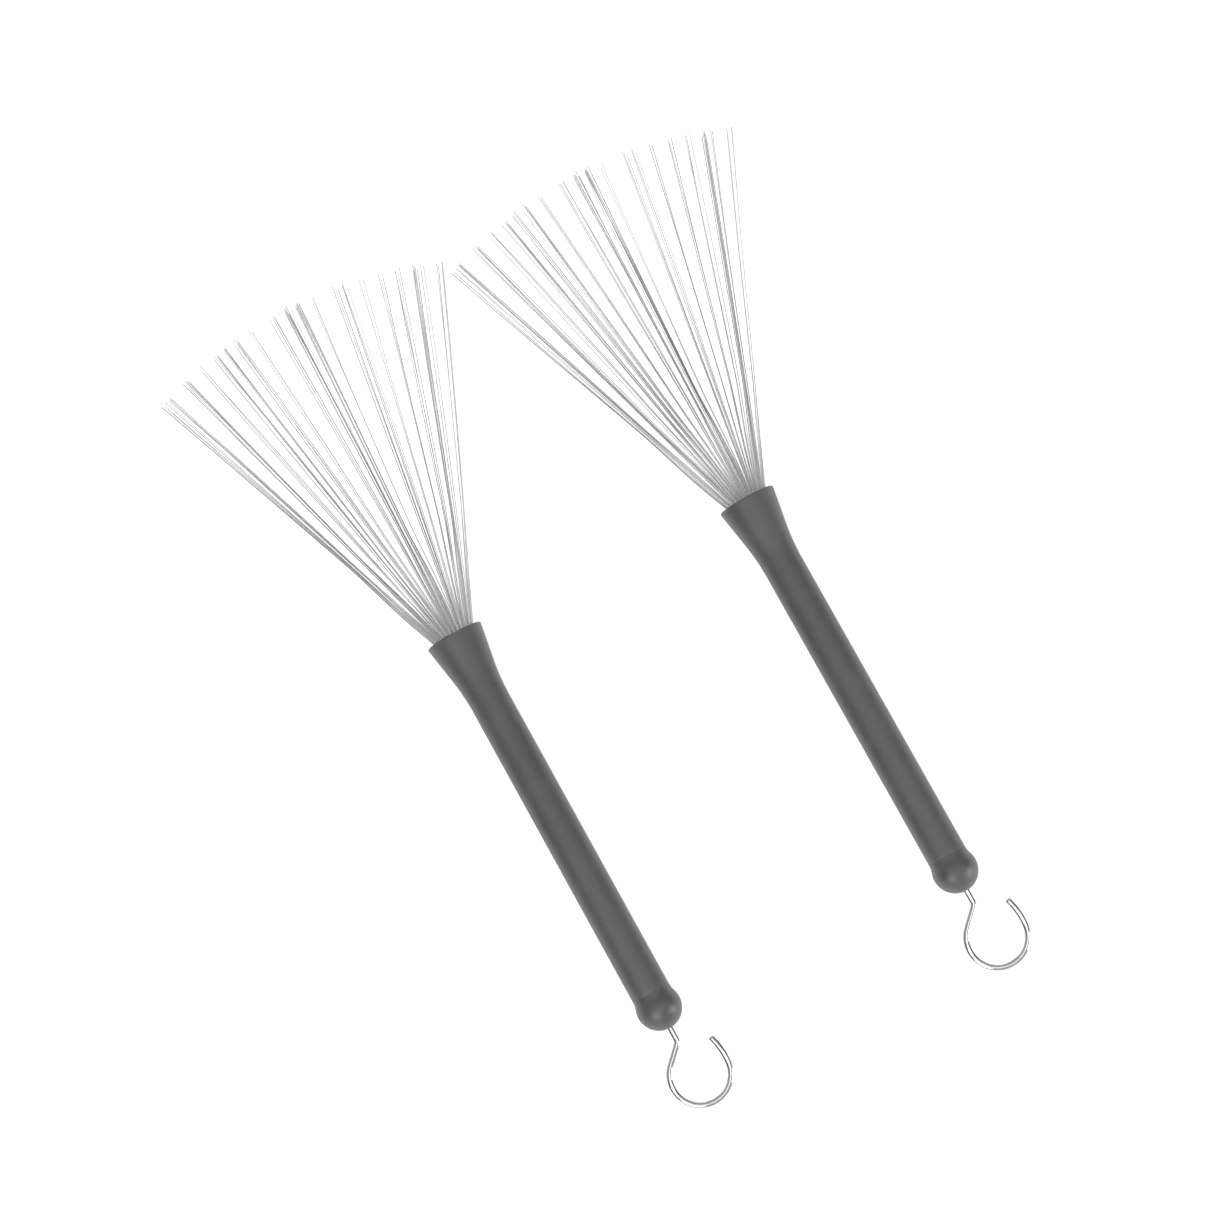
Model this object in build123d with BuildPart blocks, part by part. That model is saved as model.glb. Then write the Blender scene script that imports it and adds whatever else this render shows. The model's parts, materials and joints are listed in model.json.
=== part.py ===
from build123d import *
from math import asin, atan2, cos, degrees, hypot, radians, sin, sqrt, tan
import os

# A pair of equal retractable wire brushes, lying side by side on a table. Millimetres, +Z up, +Y towards
# the wire tips. The origin is on the table, in the middle of the pair's box.
# Along a brush, "depth" is measured on its axis from the mouth rim towards the butt.

# The pair
brush_pitch = 116.7  # between the two axes
right_set_back = 8.6  # how far the right brush lies behind the left one

# Rubber grip
mouth_radius = 10.95
mouth_opening_radius = 8.7
mouth_edge_round = 0.5
flare_cone_depth = 14.5  # the flare is a cone this far, then a long arc
flare_cone_radius = 8.5
grip_radius = 7.35
grip_end_round = 0.1

# Rubber ball on the butt
ball_radius = 8.4
ball_centre = 153.2
neck_radius = 8.0  # the concave arc from the grip's line to the ball
ball_cavity_end = 157.0
rod_hole_radius = 1.6

# Handle tube
tube_outer_radius = 5.8
tube_inner_radius = 5.1
tube_start = 12.2
tube_end = 152.5

# Nylon funnel in the mouth
funnel_start = 1.2
funnel_lip_inner_radius = 8.65
funnel_lip_outer_radius = 9.4
funnel_throat_radius = 4.4
funnel_throat_start = 11.5
funnel_end = 19.3

# Plug, bush, washer and friction ring in the butt
plug_start = 149.0
plug_flange_radius = 6.3
plug_flange_end = 153.7
bush_outer_radius = 2.5
bush_end = 156.4
bush_clearance = 0.04
washer_thickness = 0.8
washer_radius = 4.9
friction_ring_start = 157.2
friction_ring_end = 158.6
friction_ring_radius = 2.7
friction_ring_clearance = 0.02

# Pull rod and hook
rod_radius = 1.25
rod_start = 17.3
shank_past_ball = 5.5  # from the ball's end to the corner of the hook's first bend
shank_bend_radius = 3.0
ring_radius = 11.0  # centreline
ring_centre_ahead = 14.0  # of the first bend's corner
ring_centre_aside = 1.4
ring_leave_angle = 84.0  # where the ring starts to open out, from straight ahead
opening_radius = 25.6
opening_angle = 24.7
rod_tip_round = 0.35

# Glide, collar and ferrule on the rod
part_gap = 0.2  # between neighbours that turn against each other
glide_length = 3.0
glide_clearance = 0.07  # in the tube
glide_bore_clearance = 0.05  # on the rod
collar_length = 2.0
collar_radius = 2.5
ferrule_start = 13.5
ferrule_end = 19.5
ferrule_radius = 2.8
ferrule_bore_radius = 2.2
crimp_groove_depth = 0.25
crimp_groove_width = 0.9
edge_break = 0.3

# Wires
wire_radius = 0.15
wire_pitch = 0.37  # between neighbours in the ferrule
bundle_radius = 2.0
rows_each_side = 4  # of the middle row
wire_bend_depth = 12.4
wire_bend_radius = 4.0
wire_end = 17.0
fan_apex_depth = 18.0
fan_radius = 154.0
fan_row_spacing = 0.95  # at the tips
fan_height_rows = 7.0  # the rows' widths are those of an ellipse this many rows high
row_skew = 0.1  # each row is moved on by this part of a wire's place, so that rows don't hide each other
strand_spread = 0.45  # half the angle that one strand covers
trim_step = 0.4  # the tips are trimmed a little unevenly
trim_steps = 5

# The strands that the wires gather in: (angle from the axis in degrees, share of the wires)
strands = (
    (-19.9, 4),
    (-18.9, 8),
    (-15.6, 8),
    (-12.6, 3),
    (-10.3, 5),
    (-8.6, 4),
    (-6.9, 5),
    (-4.3, 3),
    (-0.8, 5),
    (1.5, 7),
    (3.1, 8),
    (5.0, 2),
    (8.8, 3),
    (10.2, 2),
    (12.4, 4),
    (15.2, 3),
    (17.8, 5),
    (20.1, 8),
    (21.3, 3),
    (23.5, 2),
)

neck_along = sqrt((ball_radius + neck_radius) ** 2 - (grip_radius + neck_radius) ** 2)
grip_end = ball_centre - neck_along  # where the neck's arc touches the grip's line
ball_end = ball_centre + ball_radius
collar_start = ferrule_end + part_gap + glide_length + part_gap
stroke = plug_start - washer_thickness - part_gap - (collar_start + collar_length)

# A brush lies on its mouth rim and its ball, so its axis leans down towards the butt
lean = asin((mouth_radius - ball_radius) / ball_centre)
to_butt = Vector(0, -cos(lean), -sin(lean))
across = Vector(1, 0, 0)
upward = Vector(0, -sin(lean), cos(lean))


def strand_angle(share):
    """The angle that a wire takes in the fan, for the share of all wires to its left."""
    total = sum(wires for angle, wires in strands)
    left = share * total
    for angle, wires in strands:
        if left <= wires:
            return angle + strand_spread * (2 * left / wires - 1)
        left -= wires
    return strands[-1][0] + strand_spread


def row_wires(row):
    """Each wire of a row: (place across the ferrule, height there, the tip's depth, place across, height)."""
    height = row * wire_pitch * sqrt(3) / 2
    half_chord = sqrt(bundle_radius**2 - height**2)
    count = int(2 * half_chord / wire_pitch) + 1
    reach = sqrt(1 - (row / fan_height_rows) ** 2)
    wires = []
    for number in range(count):
        place = (number - (count - 1) / 2) * wire_pitch
        along_row = 2 * (number + row_skew * row) / (count - 1) - 1
        share = (1 + reach * along_row) / 2
        angle = radians(strand_angle(min(max(share, 0), 1)))
        trim = trim_step * ((7 * number + 3 * abs(row)) % trim_steps)
        length = fan_radius - trim
        tip = (fan_apex_depth - length * cos(angle), length * sin(angle), row * fan_row_spacing)
        wires.append((place, height, *tip))
    return wires


rows = range(-rows_each_side, rows_each_side + 1)
all_wires = [wire for row in rows for wire in row_wires(row)]
fan_left = min(across_tip for place, height, depth, across_tip, tip_height in all_wires)
fan_right = max(across_tip for place, height, depth, across_tip, tip_height in all_wires)
fan_front = max(-depth for place, height, depth, across_tip, tip_height in all_wires)
hook_back = ball_end + shank_past_ball + ring_centre_ahead + ring_radius + rod_radius

# Where the two mouths' centres are
middle_across = (fan_left + fan_right) / 2
middle_along = (fan_front - hook_back * cos(lean)) / 2
mouth_height = mouth_radius * cos(lean)
mouths = {
    "left": Vector(-brush_pitch / 2 - middle_across, right_set_back / 2 - middle_along, mouth_height),
    "right": Vector(brush_pitch / 2 - middle_across, -right_set_back / 2 - middle_along, mouth_height),
}


def profile_plane(mouth):
    """The upright plane through a brush's axis: x is depth, y is the radius."""
    return Plane(origin=mouth, x_dir=to_butt, z_dir=-across)


def flat_plane(mouth):
    """The level plane through a brush's axis: x is depth, y is the place across, z is the height."""
    return Plane(origin=mouth, x_dir=to_butt, z_dir=upward)


def turned(mouth, outline):
    """A piece turned about the brush's axis, from its outline in (depth, radius)."""
    with BuildPart() as piece:
        with BuildSketch(profile_plane(mouth)):
            with BuildLine():
                Polyline(*outline, close=True)
            make_face()
        revolve(axis=Axis(mouth, to_butt))
    return piece.part


def turned_ring(mouth, start, end, inner, outer, broken=0.0):
    """A turned ring, its outer edges broken by a small chamfer."""
    if not broken:
        return turned(mouth, [(start, inner), (start, outer), (end, outer), (end, inner)])
    outline = [
        (start, inner),
        (start, outer - broken),
        (start + broken, outer),
        (end - broken, outer),
        (end, outer - broken),
        (end, inner),
    ]
    return turned(mouth, outline)


def grip_sleeve(mouth):
    """Flared rubber sleeve: a cone and a tangent arc outside, shaped to the funnel and the tube inside."""
    cone_slope = atan2(mouth_radius - flare_cone_radius, flare_cone_depth)
    arc_radius = (flare_cone_radius - grip_radius) / (1 - cos(cone_slope))
    arc_end = flare_cone_depth + arc_radius * sin(cone_slope)
    with BuildPart() as sleeve:
        with BuildSketch(profile_plane(mouth)) as outline:
            with BuildLine():
                cone = Line((0, mouth_radius), (flare_cone_depth, flare_cone_radius))
                TangentArc(cone @ 1, (arc_end, grip_radius), tangent=cone % 1)
                Polyline(
                    (arc_end, grip_radius),
                    (grip_end, grip_radius),
                    (grip_end, tube_outer_radius),
                    (tube_start, tube_outer_radius),
                    (funnel_start, funnel_lip_outer_radius),
                    (funnel_start, mouth_opening_radius),
                    (0, mouth_opening_radius),
                    (0, mouth_radius),
                )
            make_face()
            mouth_corners = outline.vertices().sort_by(Axis.X)[:2]
            fillet(mouth_corners, mouth_edge_round)
            back_corners = outline.vertices().sort_by(Axis.X)[-2:]
            fillet(back_corners.sort_by(Axis.Y)[-1], grip_end_round)
        revolve(axis=Axis(mouth, to_butt))
    return sleeve.part


def butt_ball(mouth):
    """Rubber ball with a concave neck over the tube's end, hollow for the plug, with a hole for the rod."""
    share = ball_radius / (ball_radius + neck_radius)
    neck_end = (ball_centre - neck_along * share, (grip_radius + neck_radius) * share)
    back = sqrt(ball_radius**2 - rod_hole_radius**2)
    with BuildPart() as ball:
        with BuildSketch(profile_plane(mouth)):
            with BuildLine():
                neck = TangentArc((grip_end, grip_radius), neck_end, tangent=(1, 0))
                ThreePointArc(
                    neck @ 1,
                    (ball_centre, ball_radius),
                    (ball_centre + back, rod_hole_radius),
                )
                Polyline(
                    (ball_centre + back, rod_hole_radius),
                    (friction_ring_end, rod_hole_radius),
                    (friction_ring_end, friction_ring_radius),
                    (ball_cavity_end, friction_ring_radius),
                    (ball_cavity_end, bush_outer_radius),
                    (plug_flange_end, bush_outer_radius),
                    (plug_flange_end, plug_flange_radius),
                    (tube_end, plug_flange_radius),
                    (tube_end, tube_outer_radius),
                    (grip_end, tube_outer_radius),
                    (grip_end, grip_radius),
                )
            make_face()
        revolve(axis=Axis(mouth, to_butt))
    return ball.part


def handle_tube(mouth):
    """Aluminium tube that carries the grip and guides the glide."""
    return turned_ring(mouth, tube_start, tube_end, tube_inner_radius, tube_outer_radius)


def mouth_funnel(mouth):
    """Nylon funnel that seats on the tube's front end. Its narrow back end stops the glide."""
    outline = [
        (funnel_start, funnel_lip_inner_radius),
        (funnel_start, funnel_lip_outer_radius),
        (tube_start, tube_outer_radius),
        (tube_start, tube_inner_radius),
        (funnel_end, tube_inner_radius),
        (funnel_end, funnel_throat_radius),
        (funnel_throat_start, funnel_throat_radius),
    ]
    return turned(mouth, outline)


def butt_plug(mouth):
    """Nylon plug pressed in the tube's back end, with a flange behind the tube and a bore for the bush."""
    outline = [
        (plug_start, bush_outer_radius),
        (plug_start, tube_inner_radius),
        (tube_end, tube_inner_radius),
        (tube_end, plug_flange_radius),
        (plug_flange_end, plug_flange_radius),
        (plug_flange_end, bush_outer_radius),
    ]
    return turned(mouth, outline)


def rod_bush(mouth):
    """Brass bush in the plug, a running fit on the rod."""
    return turned_ring(mouth, plug_start, bush_end, rod_radius + bush_clearance, bush_outer_radius)


def friction_ring(mouth):
    """Rubber ring in the ball that drags on the rod."""
    inner = rod_radius + friction_ring_clearance
    return turned_ring(mouth, friction_ring_start, friction_ring_end, inner, friction_ring_radius)


def stop_washer(mouth):
    """Steel washer in front of the plug, which the collar meets when the wires are in."""
    start = plug_start - washer_thickness
    return turned_ring(mouth, start, plug_start, rod_hole_radius, washer_radius)


def glide_ring(mouth):
    """Nylon glide that slides in the tube with the rod. The rod turns in it."""
    start = ferrule_end + part_gap
    inner = rod_radius + glide_bore_clearance
    outer = tube_inner_radius - glide_clearance
    return turned_ring(mouth, start, start + glide_length, inner, outer, edge_break)


def stop_collar(mouth):
    """Steel collar crimped on the rod behind the glide."""
    end = collar_start + collar_length
    return turned_ring(mouth, collar_start, end, rod_radius, collar_radius, edge_break)


def wire_ferrule(mouth):
    """Aluminium ferrule, crimped by two grooves: its front holds the wires and its back the rod."""
    first_groove = ferrule_start + crimp_groove_width
    second_groove = ferrule_end - 2 * crimp_groove_width
    outline = [
        (ferrule_start, ferrule_bore_radius),
        (ferrule_start, ferrule_radius - edge_break),
        (ferrule_start + edge_break, ferrule_radius),
    ]
    for groove in (first_groove, second_groove):
        outline.append((groove, ferrule_radius))
        outline.append((groove + crimp_groove_width / 2, ferrule_radius - crimp_groove_depth))
        outline.append((groove + crimp_groove_width, ferrule_radius))
    outline += [
        (ferrule_end - edge_break, ferrule_radius),
        (ferrule_end, ferrule_radius - edge_break),
        (ferrule_end, rod_radius),
        (rod_start, rod_radius),
        (rod_start, ferrule_bore_radius),
    ]
    return turned(mouth, outline)


def pull_rod(mouth):
    """Steel rod through the handle. Past the ball it bends aside and round into an open ring."""
    centre_distance = hypot(ring_centre_ahead, ring_centre_aside)
    straight_on = sqrt(centre_distance**2 - ring_radius**2)
    turn = degrees(asin(ring_radius / centre_distance) - atan2(ring_centre_aside, ring_centre_ahead))
    bend_tangent = shank_bend_radius * tan(radians(turn / 2))
    bend_start = ball_end + shank_past_ball - bend_tangent
    approach = straight_on - bend_tangent
    with BuildPart() as rod:
        with BuildLine(flat_plane(mouth)) as path:
            shank = Line((rod_start, 0), (bend_start, 0))
            bend = JernArc(shank @ 1, (1, 0), shank_bend_radius, -turn)
            slant = PolarLine(bend @ 1, approach, direction=bend % 1)
            round_the_ring = turn + ring_leave_angle + 90
            ring = JernArc(slant @ 1, slant % 1, ring_radius, round_the_ring)
            JernArc(ring @ 1, ring % 1, opening_radius, opening_angle)
        with BuildSketch(Plane(origin=path.line @ 0, z_dir=path.line % 0)):
            Circle(rod_radius)
        sweep(path=path.line)
        tip_face = rod.faces().filter_by(GeomType.PLANE).sort_by_distance(path.line @ 1)[0]
        fillet(tip_face.edges(), rod_tip_round)
    return rod.part


def wire_row(mouth, row):
    """One row of spring wires. Each is straight in the ferrule, then bends out to its place in the fan."""
    with BuildPart() as wires:
        for place, height, tip_depth, tip_across, tip_height in row_wires(row):
            with BuildLine(flat_plane(mouth)) as path:
                FilletPolyline(
                    (wire_end, place, height),
                    (wire_bend_depth, place, height),
                    (tip_depth, tip_across, tip_height),
                    radius=wire_bend_radius,
                )
            with BuildSketch(Plane(origin=path.line @ 0, z_dir=path.line % 0)):
                Circle(wire_radius)
            sweep(path=path.line)
    return wires.part


def save(piece, name):
    piece.label = name
    export_step(piece, f"parts/{name}.step")


turned_pieces = (
    grip_sleeve,
    butt_ball,
    handle_tube,
    mouth_funnel,
    butt_plug,
    rod_bush,
    friction_ring,
    stop_washer,
    glide_ring,
    stop_collar,
    wire_ferrule,
    pull_rod,
)

os.makedirs("parts", exist_ok=True)
for side, mouth in mouths.items():
    for make in turned_pieces:
        save(make(mouth), f"{side}_{make.__name__}")
    for row in rows:
        save(wire_row(mouth, row), f"{side}_wire_row_{row + rows_each_side + 1}")

print(f"stroke {stroke:.1f}, lean {degrees(lean):.3f} degrees, {len(all_wires)} wires in a brush")
for side, mouth in mouths.items():
    print(f"{side} mouth at {mouth.X:.3f}, {mouth.Y:.3f}, {mouth.Z:.3f}")
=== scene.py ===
import json
import math
import random

import bmesh
import bpy
from mathutils import Matrix, Vector


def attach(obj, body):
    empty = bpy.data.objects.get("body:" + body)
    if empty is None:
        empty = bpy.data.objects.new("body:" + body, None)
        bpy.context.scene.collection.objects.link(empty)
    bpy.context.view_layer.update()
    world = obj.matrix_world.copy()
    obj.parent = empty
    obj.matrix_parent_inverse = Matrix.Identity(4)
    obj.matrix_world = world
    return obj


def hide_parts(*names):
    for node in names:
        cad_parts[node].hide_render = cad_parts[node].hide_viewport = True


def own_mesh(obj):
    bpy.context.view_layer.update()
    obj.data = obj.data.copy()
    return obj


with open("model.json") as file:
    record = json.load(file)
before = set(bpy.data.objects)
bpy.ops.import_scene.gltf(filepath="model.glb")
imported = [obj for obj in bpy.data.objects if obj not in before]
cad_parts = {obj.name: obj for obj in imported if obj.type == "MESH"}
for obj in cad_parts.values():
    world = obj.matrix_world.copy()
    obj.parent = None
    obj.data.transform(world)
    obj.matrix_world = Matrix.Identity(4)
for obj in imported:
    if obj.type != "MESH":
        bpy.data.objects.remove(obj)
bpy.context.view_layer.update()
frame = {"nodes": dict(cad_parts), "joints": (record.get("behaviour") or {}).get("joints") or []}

# A pair of retractable wire brushes lying on a pale table, seen from above. Metres, in the CAD's frame.
# Along a brush, "depth" is measured on its axis from the mouth rim towards the butt.

MM = 0.001
SIDES = ("left", "right")
joints = {joint["name"]: joint for joint in frame["joints"]}

# Rubber grip and ball
MOUTH_RADIUS = 10.95 * MM
MOUTH_OPENING_RADIUS = 8.7 * MM
MOUTH_EDGE_ROUND = 0.5 * MM
FLARE_CONE_DEPTH = 14.5 * MM
FLARE_CONE_RADIUS = 8.5 * MM
GRIP_RADIUS = 7.35 * MM
GRIP_END_ROUND = 0.1 * MM
TUBE_START = 12.2 * MM
TUBE_OUTER_RADIUS = 5.8 * MM
FUNNEL_START = 1.2 * MM
FUNNEL_LIP_RADIUS = 9.4 * MM
BALL_RADIUS = 8.4 * MM
BALL_CENTRE = 153.2 * MM
NECK_RADIUS = 8.0 * MM
NECK_ALONG = math.sqrt((BALL_RADIUS + NECK_RADIUS) ** 2 - (GRIP_RADIUS + NECK_RADIUS) ** 2)
GRIP_END = BALL_CENTRE - NECK_ALONG
ROD_HOLE_RADIUS = 1.6 * MM
ROD_HOLE_DEPTH = 3.0 * MM

# Pull rod and hook
ROD_RADIUS = 1.25 * MM
ROD_START = 17.3 * MM
ROD_TIP_DOME = 0.2 * MM
SHANK_PAST_BALL = 5.5 * MM
SHANK_BEND_RADIUS = 3.0 * MM
RING_RADIUS = 11.0 * MM
RING_CENTRE_AHEAD = 14.0 * MM
RING_CENTRE_ASIDE = 1.4 * MM
RING_LEAVE_ANGLE = math.radians(84.0)
OPENING_RADIUS = 25.6 * MM
OPENING_ANGLE = math.radians(24.7)

# Wires. A "reach" is a distance from the fan's apex.
WIRE_RADIUS = 0.15 * MM
WIRE_ROWS = 9
WIRE_BEND_DEPTH = 12.4 * MM
FAN_APEX_DEPTH = 18.0 * MM
FAN_LEFT = math.radians(-23.2)
FAN_RIGHT = math.radians(23.6)
EVEN_UNTIL = 14.0 * MM  # evenly spread to this reach, then gathering in strands
GATHERED_FROM = 64.0 * MM
SETTLED_FROM = 24.0 * MM  # from here a wire's own place in the ferrule no longer shows
WIRE_BOW = 0.8 * MM
WIRE_LIFT = 0.3 * MM
END_SLICE = 0.05 * MM  # points this near to a CAD wire's end belong to its end face
WELD_DISTANCE = 0.0001 * MM
RANDOM_SEED = 7

# How finely the meshes are divided, around and along
TURNED_SIDES = 128
ROD_SIDES = 32
WIRE_SIDES = 8
RIM_INNER_STEPS = 6
RIM_OUTER_STEPS = 8
CONE_STEPS = 12
FLARE_ARC_STEPS = 14
STRAIGHT_GRIP_STEPS = 60
GRIP_END_STEPS = 5
NECK_STEPS = 14
BALL_STEPS = 52
SHANK_STEPS = 40
BEND_STEPS = 10
SLANT_STEPS = 8
RING_STEPS = 72
OPENING_STEPS = 14
WIRE_STEPS = 30

# Rubber, plastic and metal: the tones from dark to light, as linear grey or colour, the roughness range and
# the grain's depth
GRIP_RUBBER = ((0.080, 0.100), (0.40, 0.47), 0.03 * MM)
BALL_RUBBER = ((0.056, 0.072), (0.42, 0.50), 0.02 * MM)
RING_RUBBER = ((0.012, 0.018), (0.45, 0.55), 0.02 * MM)
NYLON = ((0.05, 0.065), (0.35, 0.5), 0.02 * MM)
ROD_STEEL = ((0.56, 0.68), (0.08, 0.12), 0.004 * MM)
WASHER_STEEL = ((0.45, 0.6), (0.28, 0.4), 0.01 * MM)
TUBE_ALUMINIUM = ((0.62, 0.72), (0.3, 0.4), 0.01 * MM)
FERRULE_ALUMINIUM = ((0.6, 0.7), (0.3, 0.42), 0.01 * MM)
BUSH_BRASS = (((0.62, 0.44, 0.18), (0.78, 0.58, 0.27)), (0.22, 0.32), 0.008 * MM)
GRIP_SHEEN = 0.7
BALL_SHEEN = 1.0
RING_SHEEN = 0.5
RUBBER_IOR = 1.5

# Rubber rubbed pale: how much by the mouth, by depth as a share of the grip's length, and how much in small
# scuffs, where their noise is high
WORN_TONE = 0.17
RIM_WEAR = [(0.0, 0.35), (0.012, 0.12), (0.06, 0.0)]
SCUFFS = [(0.66, 0.0), (0.74, 0.45)]

# A wire's tone by its reach as a share of its length, which is painted light: darker through the middle of
# the fan and lighter towards the tips, standing in for glare on the thin outer wires; and each wire's own
# tone, which shows once they part
WIRE_PAINTED_LIGHT_BY_REACH = [(0.26, 1.0), (0.36, 0.78), (0.5, 0.78), (0.65, 0.9), (0.8, 1.0)]
WIRE_OWN_TONES = [(0.0, 0.52), (0.5, 0.9), (1.0, 1.0)]
WIRE_EVEN_TONE = 0.76
WIRE_EVEN_MIX = [(0.14, 1.0), (0.3, 0.0)]
WIRE_STREAK_TONES = (0.9, 1.0)
WIRE_ROUGHNESS = (0.22, 0.36)
WIRE_GRAIN = 0.004 * MM

# Noises, in repeats per metre
MOTTLE_SCALE = 90.0
SCUFF_SCALE = 520.0
RUBBER_GRAIN_SCALE = 2600.0
PLASTIC_MOTTLE_SCALE = 300.0
PLASTIC_GRAIN_SCALE = 4000.0
METAL_MOTTLE_SCALE = 625.0
METAL_GRAIN_SCALE = 2500.0
WIRE_STREAK_SCALE = 450.0
WIRE_GRAIN_SCALE = 1800.0
ALONG = (1.0, 0.04, 1.0)  # grain drawn out along the brushes
EVENLY = (1.0, 1.0, 1.0)
NOISE_DETAIL = 4.0
RUBBER_DETAIL = 5.0
GRAIN_DETAIL = 3.0
NOISE_ROUGHNESS = 0.6
MIDDLE_OF_NOISE = (0.3, 0.7)  # nearly all of a noise lies between these
GRAIN_STRENGTH = 0.3
RUBBER_GRAIN_STRENGTH = 0.35

# Floor and room. The room is bright overhead and dim around the sides: its brightness goes by the height of
# the direction, from level (0) to straight up (1), and by how far it turns to the brushes' ends.
FLOOR_HALF = 3.0
FLOOR_TONES = (0.78, 0.80)
FLOOR_MOTTLE_SCALE = 30.0
FLOOR_ROUGHNESS = 0.9
FLOOR_GLOW = 0.65
ROOM_STRENGTH = 0.78
OVERHEAD_TONES = [(0.0, 0.0), (0.58, 0.02), (0.78, 0.55), (0.93, 1.0)]
END_TONES = [(0.1, 0.0), (0.4, 0.5), (0.8, 0.7)]
WHITE = (1.0, 1.0, 1.0, 1.0)

# Lamps: name, place, what it points at, size and power in watts
LAMPS = (
    ("front", (-0.46, -0.58, 0.62), (0.0, -0.16, 0.0), (0.4, 0.35), 2.4),
    ("right", (0.78, -0.70, 0.28), (0.0, -0.16, 0.0), (0.45, 0.35), 3.2),
    ("overhead", (0.0, -0.225, 0.7), (0.0, -0.225, 0.0), (1.3, 0.14), 0.8),
)

# The camera stands over the middle of the handles and looks a little towards the wires. Its place and aim are
# from the point midway between the two mouths.
VIEW_ROLL = math.radians(-28.95)
VIEW_LENS = 98.1
VIEW_SENSOR = 36.0
VIEW_STAND = Vector((0.0, -0.155, 1.2))
VIEW_AIM = Vector((-0.00409, -0.01595, 0.0))


class Brush:
    """Where one brush lies: its mouth's centre and the directions along, across and above its axis."""

    def __init__(self, side):
        turn = joints[f"{side}_turn"]
        self.side = side
        self.mouth = Vector(turn["pos_m"])
        self.to_butt = Vector(turn["axis"]).normalized()
        self.across = Vector((1, 0, 0))
        self.upward = self.across.cross(self.to_butt) * -1

    def at(self, depth, across=0.0, height=0.0):
        return self.mouth + self.to_butt * depth + self.across * across + self.upward * height

    def place(self, point):
        """A point's depth, place across and height."""
        offset = point - self.mouth
        return offset.dot(self.to_butt), offset.dot(self.across), offset.dot(self.upward)


def add_piece(mesh, material, body, node):
    """Link a finished mesh as a piece that rides on a body and stands for its CAD node."""
    piece = bpy.data.objects.new(mesh.name, mesh)
    bpy.context.scene.collection.objects.link(piece)
    mesh.materials.append(material)
    for polygon in mesh.polygons:
        polygon.use_smooth = True
    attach(piece, body)
    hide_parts(node)
    return piece


def arc_points(centre, radius, start, end, steps):
    """Points on an arc in (depth, radius), at angles from the depth direction."""
    points = []
    for step in range(steps + 1):
        angle = start + (end - start) * step / steps
        points.append((centre[0] + radius * math.cos(angle), centre[1] + radius * math.sin(angle)))
    return points


def spaced(start, end, steps):
    """Points evenly spaced from start up to, but not at, end."""
    return [
        (start[0] + (end[0] - start[0]) * step / steps, start[1] + (end[1] - start[1]) * step / steps)
        for step in range(steps)
    ]


def turned_mesh(name, brush, outline):
    """Revolve a closed outline of (depth, radius) about the brush's axis.

    Each point is marked with its reach, its depth as a share of the grip's length.
    """
    mesh = bpy.data.meshes.new(name)
    vertices = []
    for depth, radius in outline:
        for step in range(TURNED_SIDES):
            angle = 2 * math.pi * step / TURNED_SIDES
            vertices.append(brush.at(depth, radius * math.cos(angle), radius * math.sin(angle)))
    faces = []
    count = len(outline)
    for ring in range(count):
        after = (ring + 1) % count
        for step in range(TURNED_SIDES):
            beside = (step + 1) % TURNED_SIDES
            here, there = ring * TURNED_SIDES, after * TURNED_SIDES
            faces.append((here + step, there + step, there + beside, here + beside))
    mesh.from_pydata(vertices, [], faces)
    outward(mesh)
    reach = mesh.attributes.new("reach", "FLOAT", "POINT")
    for index, mark in enumerate(reach.data):
        mark.value = outline[index // TURNED_SIDES][0] / GRIP_END
    return mesh


def outward(mesh):
    """Turn every face of a closed mesh to look outward."""
    work = bmesh.new()
    work.from_mesh(mesh)
    bmesh.ops.recalc_face_normals(work, faces=work.faces)
    work.to_mesh(mesh)
    work.free()


def tube_mesh(name, paths, radius, sides, dome=0.0):
    """Round tubes along lists of points, each closed by a flat or slightly domed end."""
    mesh = bpy.data.meshes.new(name)
    vertices, faces = [], []
    for path in paths:
        first = len(vertices)
        headings = []
        for number in range(len(path)):
            before = path[max(number - 1, 0)]
            after = path[min(number + 1, len(path) - 1)]
            headings.append((after - before).normalized())
        side = headings[0].orthogonal().normalized()
        for point, heading in zip(path, headings):
            side = (side - heading * side.dot(heading)).normalized()
            other = heading.cross(side)
            for step in range(sides):
                angle = 2 * math.pi * step / sides
                vertices.append(point + (side * math.cos(angle) + other * math.sin(angle)) * radius)
        rings = len(path)
        for ring in range(rings - 1):
            for step in range(sides):
                beside = (step + 1) % sides
                here, there = first + ring * sides, first + (ring + 1) * sides
                faces.append((here + step, here + beside, there + beside, there + step))
        for ring, heading in ((0, -headings[0]), (rings - 1, headings[-1])):
            tip = len(vertices)
            vertices.append(path[ring] + heading * dome)
            for step in range(sides):
                beside = (step + 1) % sides
                faces.append((first + ring * sides + step, first + ring * sides + beside, tip))
    mesh.from_pydata(vertices, [], faces)
    outward(mesh)
    return mesh


# Materials


def new_material(name):
    """A material, its nodes and links, and its shader."""
    material = bpy.data.materials.new(name)
    material.use_nodes = True
    tree = material.node_tree
    return material, tree.nodes, tree.links, tree.nodes["Principled BSDF"]


def texture_place(nodes, links, scale):
    """Object coordinates in metres, multiplied by scale along each direction."""
    place = nodes.new("ShaderNodeTexCoord")
    mapping = nodes.new("ShaderNodeMapping")
    mapping.inputs["Scale"].default_value = scale
    links.new(place.outputs["Object"], mapping.inputs["Vector"])
    return mapping.outputs["Vector"]


def noise(nodes, links, scale, detail=NOISE_DETAIL, stretch=EVENLY):
    texture = nodes.new("ShaderNodeTexNoise")
    texture.inputs["Scale"].default_value = scale
    texture.inputs["Detail"].default_value = detail
    texture.inputs["Roughness"].default_value = NOISE_ROUGHNESS
    links.new(texture_place(nodes, links, stretch), texture.inputs["Vector"])
    return texture.outputs["Fac"]


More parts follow.
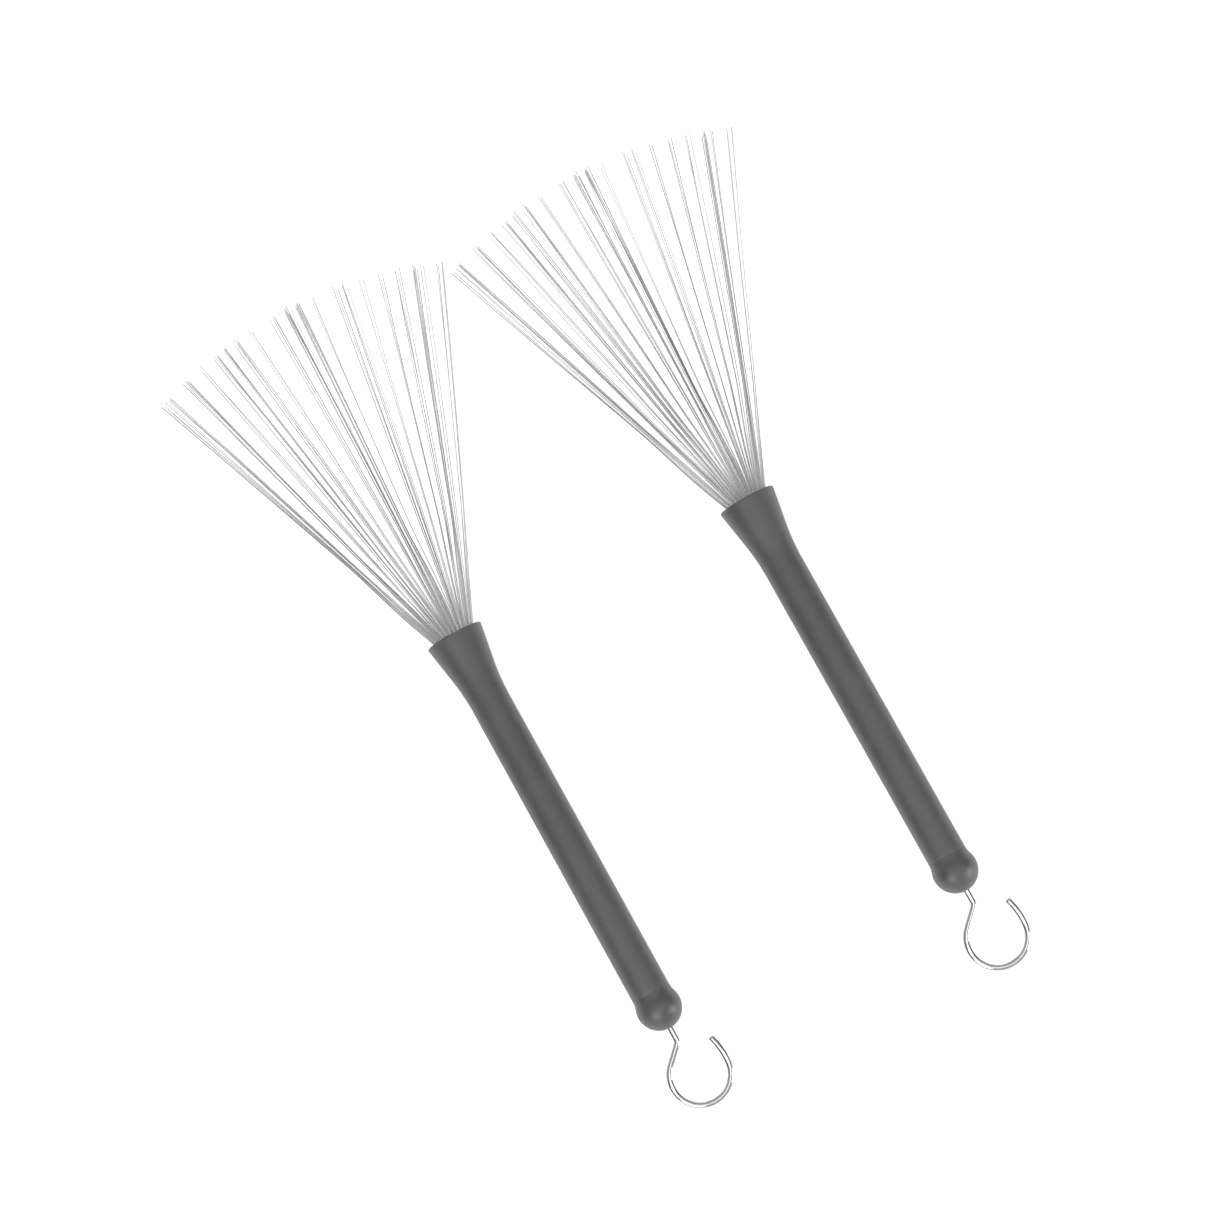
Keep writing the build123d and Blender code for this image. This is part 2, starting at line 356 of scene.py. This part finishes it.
def ramp(nodes, links, factor, stops):
    """A colour ramp with (position, grey or colour) stops."""
    node = nodes.new("ShaderNodeValToRGB")
    elements = node.color_ramp.elements
    while len(elements) < len(stops):
        elements.new(0.5)
    for element, (position, colour) in zip(elements, stops):
        element.position = position
        element.color = (*colour, 1.0) if hasattr(colour, "__len__") else (colour, colour, colour, 1.0)
    links.new(factor, node.inputs["Fac"])
    return node.outputs["Color"]


def value_range(nodes, links, factor, low, high, from_low=0.0, from_high=1.0):
    """Take a factor's range to another one."""
    node = nodes.new("ShaderNodeMapRange")
    node.inputs["From Min"].default_value = from_low
    node.inputs["From Max"].default_value = from_high
    node.inputs["To Min"].default_value = low
    node.inputs["To Max"].default_value = high
    links.new(factor, node.inputs["Value"])
    return node.outputs["Result"]


def bump(nodes, links, height, distance, strength, shader):
    node = nodes.new("ShaderNodeBump")
    node.inputs["Distance"].default_value = distance
    node.inputs["Strength"].default_value = strength
    links.new(height, node.inputs["Height"])
    links.new(node.outputs["Normal"], shader.inputs["Normal"])


def over_noise(low, high):
    """Ramp stops that take the middle of a noise from low to high."""
    return list(zip(MIDDLE_OF_NOISE, (low, high)))


def attribute(nodes, name):
    node = nodes.new("ShaderNodeAttribute")
    node.attribute_name = name
    return node.outputs["Fac"]


def mix(nodes, links, kind, factor, first, second):
    """A colour mix. Each input is a link or a fixed value."""
    node = nodes.new("ShaderNodeMix")
    node.data_type = "RGBA"
    node.blend_type = kind
    for socket, value in (("Factor", factor), ("A", first), ("B", second)):
        if isinstance(value, bpy.types.NodeSocket):
            links.new(value, node.inputs[socket])
        elif socket == "Factor":
            node.inputs[socket].default_value = value
        else:
            node.inputs[socket].default_value = (value, value, value, 1.0)
    return node.outputs["Result"]


def rubber_material(name, look, sheen):
    """Moulded rubber: softly mottled, rubbed paler at the mouth's rim and in small scuffs."""
    (dark, light), (smooth_low, smooth_high), grain_depth = look
    material, nodes, links, shader = new_material(name)
    mottle = noise(nodes, links, MOTTLE_SCALE, RUBBER_DETAIL)
    tone = ramp(nodes, links, mottle, over_noise(dark, light))
    rubbed = noise(nodes, links, SCUFF_SCALE, RUBBER_DETAIL)
    scuffs = ramp(nodes, links, rubbed, SCUFFS)
    patchy = ramp(nodes, links, rubbed, over_noise(0.0, 1.0))
    rim = mix(nodes, links, "MULTIPLY", 1.0, ramp(nodes, links, attribute(nodes, "reach"), RIM_WEAR), patchy)
    wear = mix(nodes, links, "LIGHTEN", 1.0, rim, scuffs)
    links.new(mix(nodes, links, "MIX", wear, tone, WORN_TONE), shader.inputs["Base Color"])
    roughness = value_range(nodes, links, mottle, smooth_low, smooth_high, *MIDDLE_OF_NOISE)
    links.new(roughness, shader.inputs["Roughness"])
    grain = noise(nodes, links, RUBBER_GRAIN_SCALE, GRAIN_DETAIL)
    bump(nodes, links, grain, grain_depth, RUBBER_GRAIN_STRENGTH, shader)
    shader.inputs["Specular IOR Level"].default_value = sheen
    shader.inputs["IOR"].default_value = RUBBER_IOR
    return material


def metal_material(name, look, stretch=EVENLY):
    """Metal with a fine drawn or turned grain."""
    (dark, light), (smooth_low, smooth_high), grain_depth = look
    material, nodes, links, shader = new_material(name)
    shader.inputs["Metallic"].default_value = 1.0
    tone = noise(nodes, links, METAL_MOTTLE_SCALE, stretch=stretch)
    links.new(ramp(nodes, links, tone, over_noise(dark, light)), shader.inputs["Base Color"])
    roughness = value_range(nodes, links, tone, smooth_high, smooth_low, *MIDDLE_OF_NOISE)
    links.new(roughness, shader.inputs["Roughness"])
    grain = noise(nodes, links, METAL_GRAIN_SCALE, GRAIN_DETAIL, stretch)
    bump(nodes, links, grain, grain_depth, GRAIN_STRENGTH, shader)
    return material


def wire_material(name):
    """Drawn spring wire: each wire has its own tone, evened by the mouth; by its reach it is painted darker
    through the middle of the fan and lighter towards the tips, painted light standing in for glare on the
    thin outer wires.
    """
    material, nodes, links, shader = new_material(name)
    shader.inputs["Metallic"].default_value = 1.0
    reach = attribute(nodes, "reach")
    tone = attribute(nodes, "tone")
    own = ramp(nodes, links, tone, WIRE_OWN_TONES)
    evened = mix(nodes, links, "MIX", ramp(nodes, links, reach, WIRE_EVEN_MIX), own, WIRE_EVEN_TONE)
    # Painted light: by reach the wires are darker through the middle of the fan and lighter towards their
    # tips
    shade = mix(nodes, links, "MULTIPLY", 1.0, ramp(nodes, links, reach, WIRE_PAINTED_LIGHT_BY_REACH), evened)
    streaks = noise(nodes, links, WIRE_STREAK_SCALE, stretch=ALONG)
    drawn = ramp(nodes, links, streaks, over_noise(*WIRE_STREAK_TONES))
    links.new(mix(nodes, links, "MULTIPLY", 1.0, shade, drawn), shader.inputs["Base Color"])
    links.new(value_range(nodes, links, tone, *WIRE_ROUGHNESS), shader.inputs["Roughness"])
    grain = noise(nodes, links, WIRE_GRAIN_SCALE, GRAIN_DETAIL, ALONG)
    bump(nodes, links, grain, WIRE_GRAIN, GRAIN_STRENGTH, shader)
    return material


def plastic_material(name, look):
    """Moulded nylon, finely mottled."""
    (dark, light), (smooth_low, smooth_high), grain_depth = look
    material, nodes, links, shader = new_material(name)
    mottle = noise(nodes, links, PLASTIC_MOTTLE_SCALE)
    links.new(ramp(nodes, links, mottle, over_noise(dark, light)), shader.inputs["Base Color"])
    roughness = value_range(nodes, links, mottle, smooth_low, smooth_high, *MIDDLE_OF_NOISE)
    links.new(roughness, shader.inputs["Roughness"])
    bump(nodes, links, noise(nodes, links, PLASTIC_GRAIN_SCALE), grain_depth, GRAIN_STRENGTH, shader)
    return material


grip_rubber = rubber_material("grip_rubber", GRIP_RUBBER, GRIP_SHEEN)
ball_rubber = rubber_material("ball_rubber", BALL_RUBBER, BALL_SHEEN)
ring_rubber = rubber_material("ring_rubber", RING_RUBBER, RING_SHEEN)
nylon = plastic_material("nylon", NYLON)
rod_steel = metal_material("rod_steel", ROD_STEEL)
wire_steel = wire_material("wire_steel")
washer_steel = metal_material("washer_steel", WASHER_STEEL)
tube_aluminium = metal_material("tube_aluminium", TUBE_ALUMINIUM, ALONG)
ferrule_aluminium = metal_material("ferrule_aluminium", FERRULE_ALUMINIUM)
bush_brass = metal_material("bush_brass", BUSH_BRASS)

# The inner pieces are the CAD's own meshes
NODE_MATERIALS = {
    "handle_tube": tube_aluminium,
    "mouth_funnel": nylon,
    "butt_plug": nylon,
    "rod_bush": bush_brass,
    "friction_ring": ring_rubber,
    "stop_washer": washer_steel,
    "glide_ring": nylon,
    "stop_collar": washer_steel,
    "wire_ferrule": ferrule_aluminium,
}


# Pieces


def make_grip(brush):
    """The sleeve: rounded rim, the flare's cone, a long arc into the straight grip, then the bore."""
    slope = math.atan2(MOUTH_RADIUS - FLARE_CONE_RADIUS, FLARE_CONE_DEPTH)
    arc_radius = (FLARE_CONE_RADIUS - GRIP_RADIUS) / (1 - math.cos(slope))
    arc_end = FLARE_CONE_DEPTH + arc_radius * math.sin(slope)
    edge = MOUTH_EDGE_ROUND
    quarter = math.pi / 2
    inner_centre = (edge, MOUTH_OPENING_RADIUS + edge)
    outline = arc_points(inner_centre, edge, -quarter, -2 * quarter, RIM_INNER_STEPS)
    outer_centre = (edge, MOUTH_RADIUS - edge * (math.tan(slope) + 1 / math.cos(slope)))
    outline += arc_points(outer_centre, edge, 2 * quarter, quarter - slope, RIM_OUTER_STEPS)
    outline += spaced(outline[-1], (FLARE_CONE_DEPTH, FLARE_CONE_RADIUS), CONE_STEPS)[1:]
    arc_centre = (arc_end, GRIP_RADIUS + arc_radius)
    outline += arc_points(arc_centre, arc_radius, -quarter - slope, -quarter, FLARE_ARC_STEPS)[1:]
    back = GRIP_END - GRIP_END_ROUND
    outline += spaced((arc_end, GRIP_RADIUS), (back, GRIP_RADIUS), STRAIGHT_GRIP_STEPS)[1:]
    outline += arc_points((back, GRIP_RADIUS - GRIP_END_ROUND), GRIP_END_ROUND, quarter, 0, GRIP_END_STEPS)
    outline += [
        (GRIP_END, TUBE_OUTER_RADIUS),
        (TUBE_START, TUBE_OUTER_RADIUS),
        (FUNNEL_START, FUNNEL_LIP_RADIUS),
        (FUNNEL_START, MOUTH_OPENING_RADIUS),
    ]
    side = brush.side
    mesh = turned_mesh(f"{side}_grip", brush, outline)
    add_piece(mesh, grip_rubber, f"{side}_handle", f"{side}_grip_sleeve")


def make_ball(brush):
    """The ball and its concave neck, which runs on from the grip's line."""
    neck_end_angle = math.asin((GRIP_RADIUS + NECK_RADIUS) / (BALL_RADIUS + NECK_RADIUS))
    hole_angle = math.asin(ROD_HOLE_RADIUS / BALL_RADIUS)
    quarter = math.pi / 2
    outline = [(GRIP_END, TUBE_OUTER_RADIUS)]
    neck_centre = (GRIP_END, GRIP_RADIUS + NECK_RADIUS)
    outline += arc_points(neck_centre, NECK_RADIUS, -quarter, -neck_end_angle, NECK_STEPS)
    ball_start_angle = math.pi - neck_end_angle
    outline += arc_points((BALL_CENTRE, 0.0), BALL_RADIUS, ball_start_angle, hole_angle, BALL_STEPS)[1:]
    back = outline[-1][0]
    outline += [(back - ROD_HOLE_DEPTH, ROD_HOLE_RADIUS), (back - ROD_HOLE_DEPTH, TUBE_OUTER_RADIUS)]
    side = brush.side
    mesh = turned_mesh(f"{side}_ball", brush, outline)
    add_piece(mesh, ball_rubber, f"{side}_handle", f"{side}_butt_ball")


def hook_path():
    """The rod's centreline as (depth, place across): shank, bend aside, slant, ring and its open end."""
    distance = math.hypot(RING_CENTRE_AHEAD, RING_CENTRE_ASIDE)
    straight_on = math.sqrt(distance**2 - RING_RADIUS**2)
    turn = math.asin(RING_RADIUS / distance) - math.atan2(RING_CENTRE_ASIDE, RING_CENTRE_AHEAD)
    tangent = SHANK_BEND_RADIUS * math.tan(turn / 2)
    corner = BALL_CENTRE + BALL_RADIUS + SHANK_PAST_BALL
    shank_end = corner - tangent
    points = spaced((ROD_START, 0.0), (shank_end, 0.0), SHANK_STEPS)
    place, heading = Vector((shank_end, 0.0)), 0.0
    # Radius and angle turned, or no radius and a length, then the number of steps
    stretches = (
        (SHANK_BEND_RADIUS, -turn, BEND_STEPS),
        (None, straight_on - tangent, SLANT_STEPS),
        (RING_RADIUS, turn + RING_LEAVE_ANGLE + math.pi / 2, RING_STEPS),
        (OPENING_RADIUS, OPENING_ANGLE, OPENING_STEPS),
    )
    for radius, amount, steps in stretches:
        for step in range(steps):
            points.append(tuple(place))
            if radius is None:
                place = place + Vector((math.cos(heading), math.sin(heading))) * amount / steps
                continue
            chord = 2 * radius * math.sin(abs(amount) / steps / 2)
            heading += amount / steps / 2
            place = place + Vector((math.cos(heading), math.sin(heading))) * chord
            heading += amount / steps / 2
    points.append(tuple(place))
    return points


def make_rod(brush):
    """The pull rod, bent into its hook."""
    path = [brush.at(depth, across) for depth, across in hook_path()]
    side = brush.side
    mesh = tube_mesh(f"{side}_rod", [path], ROD_RADIUS, ROD_SIDES, ROD_TIP_DOME)
    add_piece(mesh, rod_steel, f"{side}_rod", f"{side}_pull_rod")


def wire_ends(brush, node):
    """The middles of the two ends of every wire in a CAD row: (held end, tip)."""
    work = bmesh.new()
    work.from_mesh(frame["nodes"][node].data)
    bmesh.ops.remove_doubles(work, verts=work.verts, dist=WELD_DISTANCE)
    work.verts.ensure_lookup_table()
    seen, ends = set(), []
    for start in work.verts:
        if start.index in seen:
            continue
        island, waiting = [], [start]
        seen.add(start.index)
        while waiting:
            vertex = waiting.pop()
            island.append(vertex.co.copy())
            for edge in vertex.link_edges:
                other = edge.other_vert(vertex)
                if other.index not in seen:
                    seen.add(other.index)
                    waiting.append(other)
        held = middle_of_furthest(island, [brush.place(point)[0] for point in island])
        _, held_across, held_height = brush.place(held)
        bend = brush.at(WIRE_BEND_DEPTH, held_across, held_height)
        tip = middle_of_furthest(island, [(point - bend).length for point in island])
        ends.append((held, tip))
    work.free()
    return sorted(ends, key=lambda end: end[1].x)


def middle_of_furthest(points, distances):
    """The middle of the points whose distance is the greatest, within a thin slice."""
    limit = max(distances) - END_SLICE
    furthest = [point for point, distance in zip(points, distances) if distance > limit]
    return sum(furthest, Vector()) / len(furthest)


def smooth(share):
    """A share from 0 to 1, eased at both ends."""
    share = min(max(share, 0.0), 1.0)
    return share * share * (3 - 2 * share)


def wire_path(brush, held, tip, even, bow, lift):
    """A wire leaves the mouth evenly spread among the others and gathers with its strand further out.

    Gives the points, and the reach of each as a share of the wire's length.
    """
    _, held_across, held_height = brush.place(held)
    tip_depth, tip_across, tip_height = brush.place(tip)
    own = fan_angle(brush, tip)
    length = math.hypot(tip_across, FAN_APEX_DEPTH - tip_depth)
    start = FAN_APEX_DEPTH - WIRE_BEND_DEPTH
    points = [held, brush.at(WIRE_BEND_DEPTH, held_across, held_height)]
    reaches = [0.0, 0.0]
    for step in range(1, WIRE_STEPS + 1):
        share = step / WIRE_STEPS
        reach = start + (length - start) * share
        gathered = smooth((reach - EVEN_UNTIL) / (GATHERED_FROM - EVEN_UNTIL))
        angle = even + (own - even) * gathered
        settled = smooth((reach - start) / (SETTLED_FROM - start))
        from_ferrule = held_across + (reach - start) * math.tan(angle)
        from_apex = reach * math.sin(angle)
        curve = math.sin(math.pi * share) * share
        across = from_ferrule + (from_apex - from_ferrule) * settled + bow * curve
        height = held_height + (tip_height - held_height) * share + lift * curve
        points.append(brush.at(FAN_APEX_DEPTH - reach * math.cos(angle), across, height))
        reaches.append(reach / length)
    return points, reaches


def fan_angle(brush, tip):
    """The angle of a wire's tip about the fan's apex."""
    depth, across, _ = brush.place(tip)
    return math.atan2(across, FAN_APEX_DEPTH - depth)


def make_wires(brush, rng):
    """Every row of wires is a piece. A wire's place among all the wires of the fan sets its even angle."""
    side = brush.side
    rows = {row: wire_ends(brush, f"{side}_wire_row_{row}") for row in range(1, WIRE_ROWS + 1)}
    order = sorted(
        (fan_angle(brush, tip), row, number)
        for row, ends in rows.items()
        for number, (_, tip) in enumerate(ends)
    )
    rank = {(row, number): place for place, (_, row, number) in enumerate(order)}
    for row, ends in rows.items():
        paths, reaches, tones = [], [], []
        for number, (held, tip) in enumerate(ends):
            even = FAN_LEFT + (FAN_RIGHT - FAN_LEFT) * rank[row, number] / (len(order) - 1)
            bow = rng.uniform(-WIRE_BOW, WIRE_BOW)
            lift = rng.uniform(-WIRE_LIFT, WIRE_LIFT)
            points, along = wire_path(brush, held, tip, even, bow, lift)
            paths.append(points)
            reaches.append(along)
            tones.append(rng.random())
        mesh = tube_mesh(f"{side}_wires_{row}", paths, WIRE_RADIUS, WIRE_SIDES)
        mark_wires(mesh, reaches, tones)
        piece = add_piece(mesh, wire_steel, f"{side}_rod", f"{side}_wire_row_{row}")
        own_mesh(piece)


def mark_wires(mesh, reaches, tones):
    """Mark each point with its reach along its wire and with its wire's own tone."""
    reach_mark = mesh.attributes.new("reach", "FLOAT", "POINT")
    tone_mark = mesh.attributes.new("tone", "FLOAT", "POINT")
    index = 0
    for along, tone in zip(reaches, tones):
        marks = [reach for reach in along for _ in range(WIRE_SIDES)] + [along[0], along[-1]]
        for mark in marks:
            reach_mark.data[index].value = mark
            tone_mark.data[index].value = tone
            index += 1


rng = random.Random(RANDOM_SEED)
for side in SIDES:
    brush = Brush(side)
    make_grip(brush)
    make_ball(brush)
    make_rod(brush)
    make_wires(brush, rng)
    for part, material in NODE_MATERIALS.items():
        node = frame["nodes"][f"{side}_{part}"]
        node.data.materials.clear()
        node.data.materials.append(material)


# Stage: a pale floor, soft light and the camera


def make_floor():
    mesh = bpy.data.meshes.new("floor")
    corners = [(x * FLOOR_HALF, y * FLOOR_HALF, 0.0) for x, y in ((-1, -1), (1, -1), (1, 1), (-1, 1))]
    mesh.from_pydata(corners, [], [(0, 1, 2, 3)])
    floor = bpy.data.objects.new("floor", mesh)
    bpy.context.scene.collection.objects.link(floor)
    material, nodes, links, shader = new_material("floor")
    tone = noise(nodes, links, FLOOR_MOTTLE_SCALE)
    links.new(ramp(nodes, links, tone, over_noise(*FLOOR_TONES)), shader.inputs["Base Color"])
    shader.inputs["Emission Color"].default_value = WHITE
    shader.inputs["Emission Strength"].default_value = FLOOR_GLOW
    shader.inputs["Roughness"].default_value = FLOOR_ROUGHNESS
    mesh.materials.append(material)


def make_light(name, place, target, size, power):
    light = bpy.data.lights.new(name, "AREA")
    light.shape = "RECTANGLE"
    light.size, light.size_y = size
    light.energy = power
    lamp = bpy.data.objects.new(name, light)
    bpy.context.scene.collection.objects.link(lamp)
    lamp.location = place
    lamp.visible_camera = False
    lamp.rotation_mode = "QUATERNION"
    lamp.rotation_quaternion = (Vector(target) - Vector(place)).to_track_quat("-Z", "Y")


def make_world():
    """A studio room, bright overhead and dim around the sides, with a white backdrop behind the floor."""
    world = bpy.data.worlds.new("studio")
    bpy.context.scene.world = world
    world.use_nodes = True
    nodes, links = world.node_tree.nodes, world.node_tree.links
    room = nodes["Background"]
    place = nodes.new("ShaderNodeTexCoord")
    direction = nodes.new("ShaderNodeSeparateXYZ")
    links.new(place.outputs["Generated"], direction.inputs["Vector"])
    overhead = ramp(nodes, links, direction.outputs["Z"], OVERHEAD_TONES)
    ends = nodes.new("ShaderNodeMath")
    ends.operation = "ABSOLUTE"
    links.new(direction.outputs["Y"], ends.inputs[0])
    sides = ramp(nodes, links, ends.outputs["Value"], END_TONES)
    links.new(mix(nodes, links, "LIGHTEN", 1.0, overhead, sides), room.inputs["Color"])
    room.inputs["Strength"].default_value = ROOM_STRENGTH
    backdrop = nodes.new("ShaderNodeBackground")
    backdrop.inputs["Color"].default_value = WHITE
    seen = nodes.new("ShaderNodeLightPath")
    either = nodes.new("ShaderNodeMixShader")
    links.new(seen.outputs["Is Camera Ray"], either.inputs["Fac"])
    links.new(room.outputs["Background"], either.inputs[1])
    links.new(backdrop.outputs["Background"], either.inputs[2])
    links.new(either.outputs["Shader"], nodes["World Output"].inputs["Surface"])


def make_camera(middle):
    data = bpy.data.cameras.new("camera")
    camera = bpy.data.objects.new("camera", data)
    bpy.context.scene.collection.objects.link(camera)
    bpy.context.scene.camera = camera
    data.sensor_width = VIEW_SENSOR
    data.lens = VIEW_LENS
    ahead = (VIEW_AIM - VIEW_STAND).normalized()
    top = Vector((-math.sin(VIEW_ROLL), math.cos(VIEW_ROLL), 0.0))
    right = ahead.cross(top).normalized()
    turn = Matrix((right, right.cross(ahead), -ahead)).transposed()
    camera.matrix_world = Matrix.Translation(middle + VIEW_STAND) @ turn.to_4x4()


make_floor()
make_world()
for lamp in LAMPS:
    make_light(*lamp)
make_camera((Brush("left").mouth + Brush("right").mouth) / 2)
bpy.context.scene.view_settings.view_transform = "Standard"
bpy.context.scene.view_settings.look = "None"
